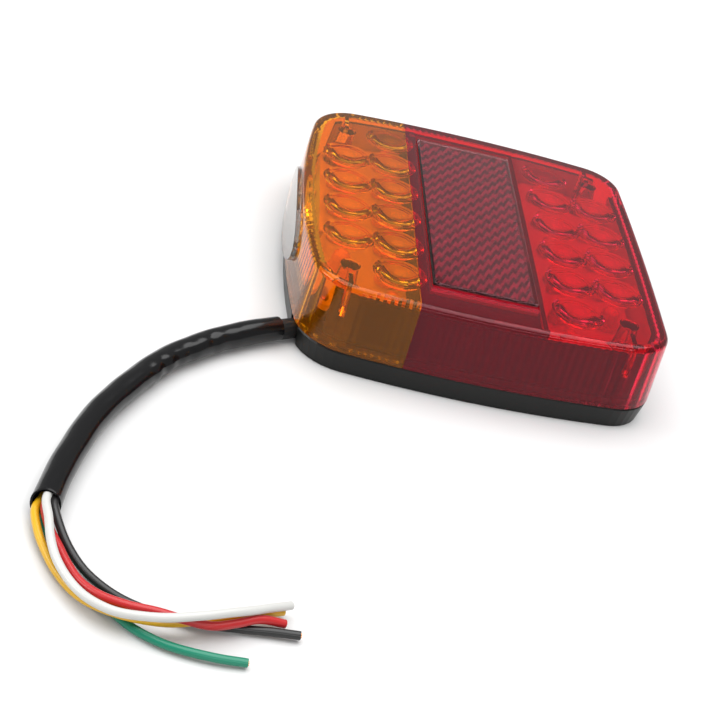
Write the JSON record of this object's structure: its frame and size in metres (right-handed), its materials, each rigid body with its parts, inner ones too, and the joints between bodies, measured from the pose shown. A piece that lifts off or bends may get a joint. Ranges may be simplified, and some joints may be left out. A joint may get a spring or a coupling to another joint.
{
  "type": "trailer tail light",
  "caption": "Rounded rectangular trailer tail lamp with amber and red lens zones, a raised reflex reflector, a side number-plate window and a short sleeved lead.",
  "frame": {"origin": "centre of the lamp's outline in the plane of the rim's back face, which is also the plane the lead lies on", "axes": "+X from the amber end to the red end, +Y up the lens along the longer side, +Z out of the lens"},
  "size_m": [0.1468, 0.2118, 0.0249],
  "materials": {
    "black_housing": "satin moulded plastic",
    "amber_lens": "polished transparent plastic",
    "red_lens": "polished transparent plastic",
    "reflector_red": "polished prismatic plastic",
    "clear_lens": "polished transparent plastic",
    "seal_rubber": "matt",
    "black_plastic": "matt",
    "board_white": "solder mask",
    "led_amber": "tinted epoxy",
    "led_red": "tinted epoxy",
    "led_white": "clear epoxy",
    "resistor_body": "lacquered",
    "diode_body": "moulded",
    "zinc_steel": "zinc plated",
    "brass": "turned",
    "rubber": "matt",
    "sleeve_pvc": "soft glossy PVC",
    "wire_white": "soft PVC",
    "wire_black": "soft PVC",
    "wire_red": "soft PVC",
    "wire_yellow": "soft PVC",
    "wire_green": "soft PVC"
  },
  "bodies": {
    "root": {"base_housing": "black_housing", "lens_amber": "amber_lens", "lens_red": "red_lens", "reflex_reflector": "reflector_red", "number_plate_window": "clear_lens", "lens_seal": "seal_rubber", "light_baffle": "black_plastic", "circuit_board": "board_white", "plate_light_board": "board_white", "led_amber_01": "led_amber", "led_amber_02": "led_amber", "led_amber_03": "led_amber", "led_amber_04": "led_amber", "led_amber_05": "led_amber", "led_amber_06": "led_amber", "led_amber_07": "led_amber", "led_amber_08": "led_amber", "led_amber_09": "led_amber", "led_amber_10": "led_amber", "led_red_01": "led_red", "led_red_02": "led_red", "led_red_03": "led_red", "led_red_04": "led_red", "led_red_05": "led_red", "led_red_06": "led_red", "led_red_07": "led_red", "led_red_08": "led_red", "led_red_09": "led_red", "led_red_10": "led_red", "plate_led_1": "led_white", "plate_led_2": "led_white", "plate_led_3": "led_white", "plate_led_4": "led_white", "dropping_resistor_1": "resistor_body", "dropping_resistor_2": "resistor_body", "dropping_resistor_3": "resistor_body", "dropping_resistor_4": "resistor_body", "blocking_diode_1": "diode_body", "blocking_diode_2": "diode_body", "lens_screw_1": "zinc_steel", "lens_screw_2": "zinc_steel", "lens_screw_3": "zinc_steel", "lens_screw_4": "zinc_steel", "mounting_insert_1": "brass", "mounting_insert_2": "brass", "cable_grommet": "rubber", "cable_gland": "rubber", "cable_sleeve": "sleeve_pvc", "wire_white": "wire_white", "wire_black": "wire_black", "wire_red": "wire_red", "wire_yellow": "wire_yellow", "wire_green": "wire_green"}
  },
  "joints": []
}
